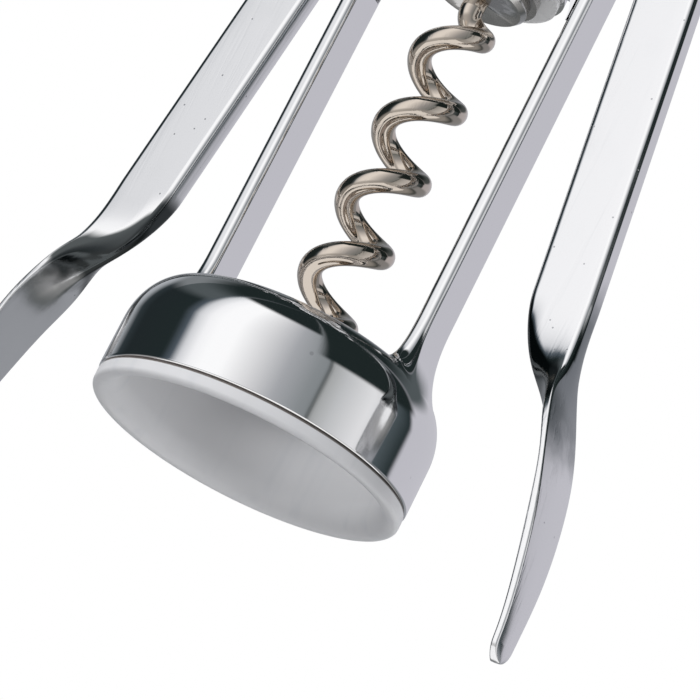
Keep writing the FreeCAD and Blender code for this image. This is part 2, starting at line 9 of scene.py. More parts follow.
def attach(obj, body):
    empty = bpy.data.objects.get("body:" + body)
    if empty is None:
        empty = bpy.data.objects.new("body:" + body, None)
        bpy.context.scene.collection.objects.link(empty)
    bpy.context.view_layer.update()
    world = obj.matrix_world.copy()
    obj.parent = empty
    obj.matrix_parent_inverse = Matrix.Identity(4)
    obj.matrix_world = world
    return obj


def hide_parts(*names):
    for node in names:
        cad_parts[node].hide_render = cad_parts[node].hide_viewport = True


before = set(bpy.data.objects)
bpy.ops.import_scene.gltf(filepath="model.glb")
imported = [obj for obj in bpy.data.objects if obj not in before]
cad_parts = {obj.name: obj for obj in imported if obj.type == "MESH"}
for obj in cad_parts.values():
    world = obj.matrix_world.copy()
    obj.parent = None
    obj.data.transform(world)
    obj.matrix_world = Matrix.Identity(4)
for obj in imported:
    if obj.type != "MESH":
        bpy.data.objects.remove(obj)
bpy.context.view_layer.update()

MM = 0.001
WELD_DISTANCE = 0.0005
SHARP_ANGLE = radians(35)

# Bell, liner and arm sizes in millimetres, the same as the construction's
BELL_R = 18.6
BELL_WALL = 1.2
SHOULDER_Z = 7.9
SHOULDER_ROUND = 4.7
SHOULDER_RISE = 6.5
CORK_HOLE_R = 12.6
CORK_HOLE_EDGE = 0.45
FOOT_EDGE = 0.35
LIP_R = 18.5
LIP_H = 1.8
LIP_ROUND = 0.55
LIP_TOP_ROUND = 0.3
LINER_WALL = 1.8
MOUTH_R = 17.7
MOUTH_FLARE_H = 3.2
MOUTH_STEPS = 12
SEAT_TOP_Z = 11.2
SEAT_ROUND = 0.8
LINER_GAP = 0.3
LINER_HOLE_R = 12.2
ARM_OUTER_X = 15.2
ARM_INNER_X = 13.35
ARM_W = 5.3
ARM_EDGE = 0.6
ARM_TOP_Z = 70.2
ARM_TOP_ROUND = 1.2
ARM_TOP_STEPS = 5
FOOT_START_Z = 21.2
ARM_HEIGHTS = (66.0, 58.0, 46.0, 34.0, 26.0, FOOT_START_Z)
FOOT_OUT = 2.1
FOOT_SIDE = 2.7
FOOT_STEPS = 18
FOOT_STRAIGHT = 1.45
FOOT_SWEEP = 1.9
FOOT_SUNK = 0.02
HEAD_CUT_Z = 71.0
HEAD_INSET = 0.15
BRIDGE_FOOT_Z = 58.0

# Gearing
MODULE = 1.5
PINION_TEETH = 16
PRESSURE_ANGLE = radians(20)
BACKLASH = 0.24
RACK_PITCH_R = 4.6
RACK_ADDENDUM = 1.3
DEDENDUM = 1.875
PINION_ADDENDUM = 1.5
PIVOT_X = 16.6
PIVOT_Z = 86.0
PIVOT_HOLE_R = 2.05
PINION_EDGE = 0.25
TEETH_BELOW_CONTACT = 2
TEETH_ABOVE_CONTACT = 9
PITCH = pi * MODULE
PINION_PITCH_R = MODULE * PINION_TEETH / 2
PINION_TIP_R = PINION_PITCH_R + PINION_ADDENDUM
PINION_ROOT_R = PINION_PITCH_R - DEDENDUM
RACK_ROOT_R = RACK_PITCH_R - DEDENDUM
SHAFT_R = RACK_PITCH_R + RACK_ADDENDUM
RINGS_BELOW_PIVOT = 2
RING_COUNT = 12
CORE_INSET = 0.01
CORE_LAP = 0.3
RING_STEPS = 96

# Shaft and worm
SHAFT_BOTTOM_Z = 60.25
WIRE_R = 1.38
HELIX_R = 3.28
HELIX_PITCH = 9.52
HELIX_OFF_X = 0.45
HELIX_RIGHTMOST_Z = 18.15
HELIX_RIGHTMOST_ANGLE = radians(33)
WORM_TIP_Z = 14.2
WORM_NECK_TURN = 0.5
WORM_NECK_GAP = 1.2
WORM_SHANK_L = 12.0
WORM_POINT_RISE = 2.1
WORM_POINT_SHARE = 0.18
WORM_STATIONS = 420
WORM_SIDES = 28

# Wings
LEVER_T = 2.8
BAR_W = 7.5
BAR_INNER_X = 23.07
BAR_LEVEL_Z = 35.0
BAR_LEAN = radians(7.62)
BAR_CORNER_DEPTH = 1.875
BAR_HEIGHTS = [PIVOT_Z, 78.0, 66.0, 54.0, 44.0, 36.0, 30.0]
HEEL_Z = 27.5
PADDLE_STEP = 0.5
PADDLE_STEPS = 76
TIP_STEPS = 12
PADDLE_TIP_Z = -13.0
PADDLE_TIP_R = 1.95
BAR_EDGE = 0.75
BAR_SUNK = 0.03
BAR_SUNK_Z = 70.0
PADDLE_CROWN = 0.3
CROWN_FADE_H = 8.0
CORNER_ROUND = 1.2
# Height, outer face, flange corner, keel, and half widths at the outer face, the flange corner and the keel
PADDLE_SECTIONS = (
    (22.5, 32.30, 26.90, 25.60, 1.60, 1.40, 0.90),
    (19.0, 32.90, 29.90, 27.80, 2.50, 1.80, 0.55),
    (16.5, 33.45, 31.90, 30.00, 3.65, 3.20, 0.45),
    (14.0, 34.35, 33.10, 32.00, 4.20, 4.10, 0.60),
    (9.5, 36.00, 35.00, 34.70, 4.40, 4.42, 1.20),
    (4.8, 37.40, 36.20, 36.00, 4.00, 4.04, 1.60),
    (-3.7, 39.00, 37.80, 37.60, 3.05, 3.09, 1.60),
    (-13.0, 39.60, 38.60, 38.40, 2.00, 2.04, 1.00),
)

# Camera, solved from the outline of the bell, arms and worm in the photograph
IMAGE_PX = 700
VIEW_AZIMUTH = radians(33.01)
VIEW_ELEVATION = radians(-17.23)
VIEW_ROLL = radians(26.79)
VIEW_DISTANCE = 423.77
PX_PER_MM = 9.21
ORIGIN_PX = (243.41, 458.36)
SENSOR_MM = 36.0
FLOOR_Z = -300.0
FLOOR_HALF = 320.0
LAMP_AIM = Vector((0, 0, 0.06))


# Sizes of a section through a wing at one height
def bar_inner_x(z):
    return BAR_INNER_X + (BAR_LEVEL_Z - z) * tan(BAR_LEAN)


def bar_outer_x(z):
    return bar_inner_x(z) + BAR_W / cos(BAR_LEAN)


def bell_height(r):
    centre_r = BELL_R - SHOULDER_ROUND
    reach = min(1, abs(r - centre_r) / SHOULDER_ROUND)
    return SHOULDER_Z + SHOULDER_RISE * sqrt(1 - reach ** 2)


# Meshes
def make_piece(name, mesh, body, material, stands_for=()):
    piece = bpy.data.objects.new(name, mesh)
    bpy.context.scene.collection.objects.link(piece)
    mesh.materials.clear()
    mesh.materials.append(material)
    mesh.shade_smooth()
    mesh.set_sharp_from_angle(angle=SHARP_ANGLE)
    piece.modifiers.new("even normals", "WEIGHTED_NORMAL").keep_sharp = True
    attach(piece, body)
    if stands_for:
        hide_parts(*stands_for)


def finish_mesh(bm, name, outward=True):
    bmesh.ops.remove_doubles(bm, verts=bm.verts, dist=WELD_DISTANCE * MM)
    if outward:
        bmesh.ops.recalc_face_normals(bm, faces=bm.faces)
    mesh = bpy.data.meshes.new(name)
    bm.to_mesh(mesh)
    bm.free()
    return mesh


def add_loft(bm, rows, closed_ends=True):
    rings = [[bm.verts.new(Vector(point) * MM) for point in row] for row in rows]
    for low, high in zip(rings, rings[1:]):
        for i in range(len(low)):
            j = (i + 1) % len(low)
            bm.faces.new((low[i], low[j], high[j], high[i]))
    if closed_ends:
        bm.faces.new(rings[0][::-1])
        bm.faces.new(rings[-1])


def loft(name, rows, closed_ends=True):
    bm = bmesh.new()
    add_loft(bm, rows, closed_ends)
    return finish_mesh(bm, name)


# A profile of radii and heights, turned round the bell's axis
def turned(name, profile, steps=180):
    turns = [2 * pi * (step % steps) / steps for step in range(steps + 1)]
    return loft(name, [[(r * cos(turn), r * sin(turn), z) for r, z in profile] for turn in turns], False)


def arc_points(centre, radius, start, end, steps):
    return [
        (centre[0] + radius * cos(start + (end - start) * i / steps),
         centre[1] + radius * sin(start + (end - start) * i / steps))
        for i in range(steps + 1)
    ]


def shoulder_points(radius, start, end, steps):
    rise = radius + SHOULDER_RISE - SHOULDER_ROUND
    turns = [start + (end - start) * i / steps for i in range(steps + 1)]
    return [(BELL_R - SHOULDER_ROUND + radius * cos(turn), SHOULDER_Z + rise * sin(turn)) for turn in turns]


def packed_mesh(node):
    bm = bmesh.new()
    bm.from_mesh(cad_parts[node].data)
    return bm


def keep_above(bm, point, normal):
    geometry = bm.verts[:] + bm.edges[:] + bm.faces[:]
    bmesh.ops.bisect_plane(bm, geom=geometry, plane_co=Vector(point) * MM, plane_no=normal, clear_inner=True)


# A rounded rectangle with each point's outward direction, starting at its right side
def rounded_section(x0, x1, half_y, radius, steps=5, side_steps=4):
    radius = min(radius, (x1 - x0) / 2.02, half_y / 1.01)
    corners = [
        (x1 - radius, half_y - radius, 0),
        (x0 + radius, half_y - radius, pi / 2),
        (x0 + radius, -half_y + radius, pi),
        (x1 - radius, -half_y + radius, 1.5 * pi),
    ]
    points = []
    for index, (cx, cy, start) in enumerate(corners):
        for i in range(steps + 1):
            turn = start + pi / 2 * i / steps
            points.append((cx + radius * cos(turn), cy + radius * sin(turn), cos(turn), sin(turn)))
        nx, ny, following = corners[(index + 1) % 4]
        ax, ay, dx, dy = points[-1]
        bx, by = nx + radius * cos(following), ny + radius * sin(following)
        for i in range(1, side_steps):
            share = i / side_steps
            points.append((ax + (bx - ax) * share, ay + (by - ay) * share, dx, dy))
    return points


# A smooth line through heights and widths, with a given slope at each end
def smooth_line(heights, values, first_slope, last_slope):
    h = np.diff(heights)
    d = np.diff(values) / h
    count = len(heights)
    rows = np.zeros((count, count))
    right = np.zeros(count)
    rows[0, 0] = rows[-1, -1] = 1
    right[0], right[-1] = first_slope, last_slope
    for i in range(1, count - 1):
        rows[i, i - 1] = h[i]
        rows[i, i] = 2 * (h[i - 1] + h[i])
        rows[i, i + 1] = h[i - 1]
        right[i] = 3 * (h[i] * d[i - 1] + h[i - 1] * d[i])
    slopes = np.linalg.solve(rows, right)

    def at(z):
        i = int(np.clip(np.searchsorted(heights, z) - 1, 0, count - 2))
        t = (z - heights[i]) / h[i]
        near, far = values[i], values[i + 1]
        return (
            near * (1 + 2 * t) * (1 - t) ** 2 + far * t * t * (3 - 2 * t)
            + h[i] * (slopes[i] * t * (1 - t) ** 2 + slopes[i + 1] * t * t * (t - 1))
        )

    return at


# Nodes. An input takes either a value or another node's output.
def set_inputs(tree, node, values):
    for title, value in values.items():
        if isinstance(value, bpy.types.NodeSocket):
            tree.links.new(value, node.inputs[title])
        else:
            node.inputs[title].default_value = value
    return node


def add_node(tree, kind, values=None, **settings):
    node = tree.nodes.new(kind)
    for title, value in settings.items():
        setattr(node, title, value)
    return set_inputs(tree, node, values or {})


def add_math(tree, operation, a, b=None, clamp=False):
    values = {0: a} if b is None else {0: a, 1: b}
    return add_node(tree, "ShaderNodeMath", values, operation=operation, use_clamp=clamp).outputs[0]


def product(tree, *factors):
    total = factors[0]
    for factor in factors[1:]:
        total = add_math(tree, "MULTIPLY", total, factor)
    return total


def split(tree, vector):
    return add_node(tree, "ShaderNodeSeparateXYZ", {0: vector}).outputs


def join(tree, **parts):
    return add_node(tree, "ShaderNodeCombineXYZ", parts).outputs[0]


def stretch(tree, vector, factors):
    return add_node(tree, "ShaderNodeVectorMath", {0: vector, 1: factors}, operation="MULTIPLY").outputs[0]


def add_range(tree, value, low, high, to_low=0.0, to_high=1.0, smooth=True):
    values = {"Value": value, "From Min": low, "From Max": high, "To Min": to_low, "To Max": to_high}
    curve = "SMOOTHSTEP" if smooth else "LINEAR"
    return add_node(tree, "ShaderNodeMapRange", values, interpolation_type=curve).outputs["Result"]


# One inside a band of values, with a slope into it and a slope out of it
def add_band(tree, value, rise, fall):
    return product(tree, add_range(tree, value, *rise), add_range(tree, value, *fall, 1.0, 0.0))


def add_noise(tree, vector, scale, detail=3.0, roughness=0.5):
    values = {"Vector": vector, "Scale": scale, "Detail": detail, "Roughness": roughness}
    return add_node(tree, "ShaderNodeTexNoise", values).outputs["Fac"]


def mix_tones(tree, share, first, second):
    first, second = [(*tone, 1) if isinstance(tone, tuple) else tone for tone in (first, second)]
    values = {"Factor": share, "A": first, "B": second}
    return add_node(tree, "ShaderNodeMix", values, data_type="RGBA").outputs["Result"]


def add_bump(tree, height, strength, distance):
    values = {"Strength": strength, "Distance": distance * MM, "Height": height}
    return add_node(tree, "ShaderNodeBump", values).outputs["Normal"]


def new_group(name, inputs, outputs):
    tree = bpy.data.node_groups.new(name, "ShaderNodeTree")
    for title, value in inputs.items():
        kind = "NodeSocketVector" if isinstance(value, tuple) else "NodeSocketFloat"
        tree.interface.new_socket(name=title, in_out="INPUT", socket_type=kind).default_value = value
    for title in outputs:
        tree.interface.new_socket(name=title, in_out="OUTPUT", socket_type="NodeSocketFloat")
    return tree, tree.nodes.new("NodeGroupInput").outputs


# Plated metal: small pits, fine rubbed lines and soft smears, as one height and one roughness
def plating_group():
    tree, given = new_group("plating wear", {
        "Vector": (0.0, 0.0, 0.0), "Lines": (1.0, 1.0, 1.0), "Smooth roughness": 0.06, "Worn roughness": 0.2,
        "Pit size": 900.0, "Pit amount": 0.3, "Line amount": 0.2,
    }, ("Roughness", "Height", "Pits"))
    vector = given["Vector"]
    smear = add_noise(tree, vector, 160.0, 4.0, 0.6)
    spread = add_noise(tree, vector, 60.0, 2.0)
    lines = add_noise(tree, stretch(tree, vector, given["Lines"]), 900.0, 3.0, 0.7)
    cells = add_node(tree, "ShaderNodeTexVoronoi", {"Vector": vector, "Scale": given["Pit size"]}).outputs
    near = add_range(tree, cells["Distance"], 0.10, 0.22, 1.0, 0.0)
    chance = add_node(tree, "ShaderNodeSeparateColor", {0: cells["Color"]}).outputs[0]
    level = add_math(tree, "SUBTRACT", 1.0, given["Pit amount"])
    pits = product(tree, near, add_range(tree, chance, level, add_math(tree, "ADD", level, 0.02)))
    rubbed = product(tree, add_range(tree, lines, 0.52, 0.7), given["Line amount"])
    patches = product(tree, add_range(tree, smear, 0.42, 0.72), add_range(tree, spread, 0.4, 0.62), 0.7)
    wear = add_math(tree, "ADD", patches, rubbed, True)
    roughness = add_range(tree, wear, 0.0, 1.0, given["Smooth roughness"], given["Worn roughness"], False)
    height = product(tree, add_math(tree, "ADD", pits, rubbed), -1.0)
    add_node(tree, "NodeGroupOutput", {"Roughness": roughness, "Height": height, "Pits": pits})
    return tree


# Moulded plastic: fine grain and faint upright drag marks from the mould
def moulding_group():
    tree, given = new_group("moulding marks", {"Vector": (0.0, 0.0, 0.0), "Streaks": 0.5}, ("Tone", "Height"))
    vector = given["Vector"]
    streaks = add_noise(tree, stretch(tree, vector, (1.0, 1.0, 0.06)), 420.0, 2.0)
    cloud = add_noise(tree, vector, 90.0, 2.0)
    grain = add_noise(tree, vector, 2600.0, 2.0)
    marks = product(tree, add_range(tree, streaks, 0.5, 0.75), given["Streaks"])
    tone = add_math(tree, "ADD", marks, product(tree, cloud, 0.4), True)
    height = add_math(tree, "ADD", marks, product(tree, grain, 0.35))
    add_node(tree, "NodeGroupOutput", {"Tone": tone, "Height": height})
    return tree


def start_material(name):
    material = bpy.data.materials.new(name)
    material.use_nodes = True
    tree = material.node_tree
    place = tree.nodes.new("ShaderNodeTexCoord").outputs["Object"]
    return material, tree, tree.nodes["Principled BSDF"], place


# The height, and how far a face looks away from the middle (one) or towards it (minus one)
def side_share(tree, place):
    parts = split(tree, place)
    normal = tree.nodes.new("ShaderNodeNewGeometry").outputs["Normal"]
    own = add_node(
        tree, "ShaderNodeVectorTransform", {0: normal},
        vector_type="NORMAL", convert_from="WORLD", convert_to="OBJECT",
    )
    return parts["Z"], product(tree, split(tree, own.outputs[0])["X"], add_math(tree, "SIGN", parts["X"]))


# Painted shade on the wings: below the heel outside, a patch rubbed fine whose dark tone is painted shade as
# well as wear, and inside the heel's fold, painted shade that is nearly black.
def heel_shade(tree, place, base):
    height, outward = side_share(tree, place)
    wave = add_math(tree, "SUBTRACT", add_noise(tree, place, 260.0, 2.0), 0.5)
    ragged = add_math(tree, "ADD", height, product(tree, wave, RAGGED_H))
    outer = add_range(tree, outward, *RUBBED_SHADE_FACING)
    under = add_band(tree, ragged, RUBBED_SHADE_FROM, RUBBED_SHADE_TO)
    shade = mix_tones(tree, product(tree, outer, under, RUBBED_SHADE_SHARE), base, HEEL_RUBBED_SHADE)
    inner = add_range(tree, outward, *FOLD_FACING)
    fold = product(tree, add_range(tree, ragged, *FOLD_FROM), add_range(tree, height, *FOLD_TO, 1.0, 0.0))
    return mix_tones(tree, product(tree, inner, fold, FOLD_SHADE_SHARE), shade, HEEL_FOLD_SHADE)


def plated_metal(
    name, colour, pit_colour, smooth, worn, lines, pit_size, pit_amount, line_amount, bump, rubbed_and_shaded_below=None
):
    material, tree, shader, place = start_material(name)
    values = {
        "Vector": place, "Lines": lines, "Smooth roughness": smooth, "Worn roughness": worn,
        "Pit size": pit_size, "Pit amount": pit_amount, "Line amount": line_amount,
    }
    if rubbed_and_shaded_below:
        height = split(tree, place)["Z"]
        values["Smooth roughness"] = add_range(tree, height, *rubbed_and_shaded_below, smooth + RUBBED_ROUGHER, smooth)
        values["Line amount"] = add_range(tree, height, *rubbed_and_shaded_below, 1.0, line_amount)
    wear = add_node(tree, "ShaderNodeGroup", values, node_tree=PLATING).outputs
    base = mix_tones(tree, wear["Pits"], colour, pit_colour)
    # Painted shade at the wings' heel, over the plated tone
    if rubbed_and_shaded_below:
        base = heel_shade(tree, place, base)
    set_inputs(tree, shader, {
        "Metallic": 1.0, "Base Color": base, "Roughness": wear["Roughness"],
        "Normal": add_bump(tree, wear["Height"], bump, 0.05),
    })
    return material


# Painted shade: a dark line on the lip's top edge, where it meets the metal ring, stands for the shadow in
# that crease.
def seam_shade(tree, place, base):
    parts = split(tree, place)
    across, deep = [product(tree, parts[axis], parts[axis]) for axis in ("X", "Y")]
    radius = add_math(tree, "SQRT", add_math(tree, "ADD", across, deep))
    outside = add_range(tree, radius, *[(LIP_R - inset) * MM for inset in SEAM_INSETS])
    high = add_range(tree, parts["Z"], *[(LIP_H - drop) * MM for drop in SEAM_DROPS])
    return mix_tones(tree, product(tree, outside, high, SEAM_SHARE), base, SEAM_SHADE)


def moulded_plastic(name, colour, deep_colour, roughness, streaks, through, radius):
    material, tree, shader, place = start_material(name)
    values = {"Vector": place, "Streaks": streaks}
    marks = add_node(tree, "ShaderNodeGroup", values, node_tree=MOULDING).outputs
    set_inputs(tree, shader, {
        # The base colour carries the painted shade in the lip's seam.
        "Base Color": seam_shade(tree, place, mix_tones(tree, marks["Tone"], colour, deep_colour)),
        "Roughness": roughness, "IOR": 1.5, "Subsurface Weight": through,
        "Subsurface Radius": (1.0, 1.0, 1.0), "Subsurface Scale": radius * MM,
        "Normal": add_bump(tree, marks["Height"], 0.08, 0.08),
    })
    return material


# Painted shade in the lip's seam and in the wings' heel fold, and the rubbed heel patch, worn and painted
# dark: tones, the heights or facings where each fades in and out, and how much each covers
SEAM_SHADE = (0.05, 0.035, 0.025)
SEAM_INSETS = (0.5, 0.4)
SEAM_DROPS = (0.34, 0.22)
SEAM_SHARE = 0.9
# The rubbed heel patch's tone is worn metal darkened with painted shade.
HEEL_RUBBED_SHADE = (0.13, 0.155, 0.165)
RUBBED_SHADE_FROM = (7.5 * MM, 14 * MM)
RUBBED_SHADE_TO = (25 * MM, 32 * MM)
RUBBED_SHADE_FACING = (0.75, 0.92)
RUBBED_SHADE_SHARE = 0.85
RUBBED_ROUGHER = 0.08
# Nearly black painted shade in the heel's fold
HEEL_FOLD_SHADE = (0.02, 0.03, 0.032)
FOLD_FROM = (13 * MM, 16 * MM)
FOLD_TO = (25.5 * MM, 28 * MM)
FOLD_FACING = (-0.12, -0.24)
FOLD_SHADE_SHARE = 0.93
RAGGED_H = 6 * MM

# Each metal: tone, its pits' tone, smooth and worn roughness, lines' direction, pit size, pits, lines, bump
PLATING = plating_group()
MOULDING = moulding_group()
UPRIGHT = (1.0, 1.0, 0.05)
ACROSS = (0.08, 1.0, 0.08)
EVEN = (1.0, 1.0, 1.0)
CHROME = (0.90, 0.90, 0.91)
BELL_CHROME = plated_metal(
    "bell_chrome", CHROME, (0.55, 0.55, 0.56), 0.045, 0.10, UPRIGHT, 700.0, 0.02, 0.10, 0.10
)
WING_CHROME = plated_metal(
    "wing_chrome", CHROME, (0.50, 0.50, 0.52), 0.08, 0.20, UPRIGHT, 1400.0, 0.05, 0.25, 0.14,
    (12 * MM, 20 * MM),
)
HANDLE_CHROME = plated_metal(
    "handle_chrome", CHROME, (0.52, 0.52, 0.54), 0.06, 0.16, ACROSS, 1000.0, 0.03, 0.20, 0.12
)
WORM_NICKEL = plated_metal(
    "worm_nickel", (0.66, 0.585, 0.51), (0.28, 0.23, 0.18), 0.05, 0.17, (1.0, 1.0, 0.25),
    1300.0, 0.05, 0.5, 0.22,
)
SHAFT_STEEL = plated_metal(
    "shaft_steel", (0.62, 0.61, 0.60), (0.30, 0.29, 0.28), 0.18, 0.34, (0.3, 0.3, 1.0),
    1200.0, 0.08, 0.45, 0.25,
)
PIN_STEEL = plated_metal(
    "pin_steel", (0.70, 0.70, 0.70), (0.35, 0.35, 0.35), 0.16, 0.30, EVEN, 1500.0, 0.06, 0.30, 0.20
)
RING_STEEL = plated_metal(
    "ring_steel", (0.50, 0.49, 0.48), (0.22, 0.21, 0.20), 0.25, 0.42, EVEN, 1300.0, 0.08, 0.30, 0.20
)

# Each plastic: tone, tone of its streaks, roughness, streaks, share of light that goes in, and how far
LINER_PLASTIC = moulded_plastic("liner_plastic", (0.60, 0.60, 0.61), (0.53, 0.54, 0.56), 0.34, 0.5, 0.35, 1.6)
BUSH_PLASTIC = moulded_plastic("bush_plastic", (0.70, 0.70, 0.70), (0.60, 0.60, 0.61), 0.40, 0.2, 0.25, 1.0)


# Bell: one turned wall, rounded at its foot and at the cork hole. The rings up it keep its shading even.
def bell_piece():
    centre_r = BELL_R - SHOULDER_ROUND
    inner_round = SHOULDER_ROUND - BELL_WALL
    top = acos((CORK_HOLE_R + CORK_HOLE_EDGE - centre_r) / SHOULDER_ROUND)
    under = acos((CORK_HOLE_R - centre_r) / inner_round)
    inner_r = BELL_R - BELL_WALL
    rim_z = SHOULDER_Z + SHOULDER_RISE * sin(top)
    profile = arc_points((BELL_R - FOOT_EDGE, LIP_H + FOOT_EDGE), FOOT_EDGE, -pi / 2, 0, 6)
    profile += [(BELL_R, LIP_H + 1.2), (BELL_R, LIP_H + 3.0), (BELL_R, SHOULDER_Z - 1.0)]
    profile += shoulder_points(SHOULDER_ROUND, 0, top, 36)
    hole_centre = (CORK_HOLE_R + CORK_HOLE_EDGE, rim_z - CORK_HOLE_EDGE)
    profile += arc_points(hole_centre, CORK_HOLE_EDGE, pi / 2, pi, 6)[1:]
    profile += shoulder_points(inner_round, under, 0, 12)
    profile += [(inner_r, LIP_H)]
    return turned("bell", profile)


def liner_piece():
    centre_r = BELL_R - SHOULDER_ROUND
    seat_r = BELL_R - BELL_WALL - LINER_WALL
    gap_r = SHOULDER_ROUND - BELL_WALL - LINER_GAP
    mouth_round = MOUTH_R - seat_r
    profile = [(MOUTH_R, 0.0)]
    profile += arc_points((LIP_R - LIP_ROUND, LIP_ROUND), LIP_ROUND, -pi / 2, 0, 8)
    profile += arc_points((LIP_R - LIP_TOP_ROUND, LIP_H - LIP_TOP_ROUND), LIP_TOP_ROUND, 0, pi / 2, 5)
    profile += [(BELL_R - BELL_WALL, LIP_H), (BELL_R - BELL_WALL, SHOULDER_Z)]
    profile += shoulder_points(gap_r, 0.1, acos((LINER_HOLE_R - centre_r) / gap_r), 10)
    profile += [(LINER_HOLE_R, SEAT_TOP_Z)]
    profile += arc_points((seat_r - SEAT_ROUND, SEAT_TOP_Z - SEAT_ROUND), SEAT_ROUND, pi / 2, 0, 6)
    profile += [(seat_r, MOUTH_FLARE_H)]
    for i in range(1, MOUTH_STEPS):
        turn = pi / 2 * i / MOUTH_STEPS
        profile.append((MOUTH_R - mouth_round * cos(turn), MOUTH_FLARE_H * (1 - sin(turn))))
    return turned("bell_liner_shell", profile)


# One arm: a strap whose foot spreads and lies down on the bell's shoulder
def arm_rows(side):
    rows = []
    for i in range(ARM_TOP_STEPS + 1):
        turn = pi / 2 * i / ARM_TOP_STEPS
        inset = ARM_TOP_ROUND * (1 - sin(turn))
        z = ARM_TOP_Z - ARM_TOP_ROUND * (1 - cos(turn))
        rows.append((z, rounded_section(ARM_INNER_X, ARM_OUTER_X - inset, ARM_W / 2, ARM_EDGE)))
    for z in ARM_HEIGHTS:
        rows.append((z, rounded_section(ARM_INNER_X, ARM_OUTER_X, ARM_W / 2, ARM_EDGE)))
    points = [[Vector((side * x, y, z)) for x, y, nx, ny in section] for z, section in rows]
    last = rows[-1][1]
    for step in range(1, FOOT_STEPS + 1):
        points.append([foot_point(*corner, step / FOOT_STEPS, side) for corner in last])
    return points


def foot_point(x, y, nx, ny, t, side):
    start = Vector((x, y, FOOT_START_Z))
    out = Vector((max(0.0, nx) * FOOT_OUT, ny * FOOT_SIDE, 0))
    r = hypot(x + out.x, y + out.y)
    end = Vector((x + out.x, y + out.y, bell_height(r) - FOOT_SUNK))
    drop = start.z - end.z
    leaving = Vector((0, 0, -FOOT_STRAIGHT * drop))
    if out.length > 0.01:
        across = out.normalized()
        from_crest = (r - (BELL_R - SHOULDER_ROUND)) / SHOULDER_ROUND
        slope = -from_crest * SHOULDER_RISE / SHOULDER_ROUND / sqrt(max(0.05, 1 - from_crest ** 2))
        toward = (across.x * end.x + across.y * end.y) / r
        arriving = Vector((across.x, across.y, slope * toward)) * (FOOT_SWEEP * out.length)
    else:
        arriving = Vector((0, 0, -drop))
    place = (
        start * ((1 + 2 * t) * (1 - t) ** 2) + leaving * (t * (1 - t) ** 2)
        + end * (t * t * (3 - 2 * t)) + arriving * (t * t * (t - 1))
    )
    return Vector((side * place.x, place.y, place.z))


# The head keeps the construction's shape, without the arms below it
def head_piece():
    bm = packed_mesh("frame")
    bmesh.ops.remove_doubles(bm, verts=bm.verts, dist=WELD_DISTANCE * MM)
    keep_above(bm, (0, 0, BRIDGE_FOOT_Z), (0, 0, 1))
    upper = bm.copy()
    keep_above(upper, (0, 0, HEAD_CUT_Z), (0, 0, 1))
    keep_above(bm, (0, 0, HEAD_CUT_Z), (0, 0, -1))
    for way in (-1, 1):
        keep_above(bm, (way * (ARM_INNER_X + HEAD_INSET), 0, 0), (-way, 0, 0))
    low = bpy.data.meshes.new("head_low")
    bm.to_mesh(low)
    upper.from_mesh(low)
    bm.free()
    return finish_mesh(upper, "head", False)


# Wings. Each corner of a section is rounded by a short curve with its ends a set distance along the sides.
def rounded_corners(corners, reaches, steps=6, side_steps=3):
    count = len(corners)
    ends = []
    for i, corner in enumerate(corners):
        before = corners[i - 1] - corner
        after = corners[(i + 1) % count] - corner
        reach_in = min(reaches[i], before.length * 0.45)
        reach_out = min(reaches[i], after.length * 0.45)
        ends.append((corner + before.normalized() * reach_in, corner + after.normalized() * reach_out))
    points = []
    for i, corner in enumerate(corners):
        start, end = ends[i]
        for k in range(steps + 1):
            t = k / steps
            points.append(start * (1 - t) ** 2 + corner * (2 * t * (1 - t)) + end * t * t)
        following = ends[(i + 1) % count][0]
        for k in range(1, side_steps):
            points.append(end.lerp(following, k / side_steps))
    return points


def wing_corners(outer_x, corner_x, keel_x, outer_half, corner_half, keel_half):
    return [
        Vector((outer_x, -outer_half)), Vector((outer_x, outer_half)), Vector((corner_x, corner_half)),
        Vector((keel_x, keel_half)), Vector((keel_x, -keel_half)), Vector((corner_x, -corner_half)),
    ]


def bar_values(z):
    half = LEVER_T / 2
    inner_x = bar_inner_x(z)
    return [bar_outer_x(z), inner_x + BAR_CORNER_DEPTH, inner_x, half, half, half]


def paddle_lines():
    stations = [(HEEL_Z, *bar_values(HEEL_Z))] + list(PADDLE_SECTIONS)
    heights = np.array([station[0] for station in stations[::-1]])
    lean = -tan(BAR_LEAN)
    lines = []
    for column in range(1, 7):
        values = np.array([station[column] for station in stations[::-1]])
        lines.append(smooth_line(heights, values, 0.0, lean if column < 4 else 0.0))
    return lines


def wing_rows(side):
    lines = paddle_lines()
    tip_z = PADDLE_TIP_Z + PADDLE_TIP_R
    heights = BAR_HEIGHTS + [HEEL_Z - PADDLE_STEP * i for i in range(PADDLE_STEPS)]
    heights += [tip_z - PADDLE_TIP_R * sin(pi / 2 * i / TIP_STEPS) for i in range(TIP_STEPS)]
    rows = []
    for z in heights:
        values = bar_values(z) if z >= HEEL_Z else [line(z) for line in lines]
        if z > BAR_SUNK_Z:
            values[3:] = [half - BAR_SUNK for half in values[3:]]
        if z < tip_z:
            narrow = sqrt(max(0.02, 1 - ((tip_z - z) / PADDLE_TIP_R) ** 2))
            values[3:] = [half * narrow for half in values[3:]]
        thick = values[0] - values[1]
        edge = min(BAR_EDGE, thick * 0.26, values[3] * 0.6)
        keel = min(BAR_EDGE, values[5] * 0.7)
        corner = min(CORNER_ROUND, edge * 1.2)
        section = rounded_corners(wing_corners(*values), (edge, edge, corner, keel, keel, corner))
        crown = PADDLE_CROWN * min(1, max(0, (HEEL_Z - z) / CROWN_FADE_H))
        for point in section:
            outward = min(1, max(0, (point.x - values[1]) / thick))
            point.x -= crown * outward * (point.y / values[3]) ** 2
        rows.append([(side * point.x, point.y, z) for point in section])
    return rows


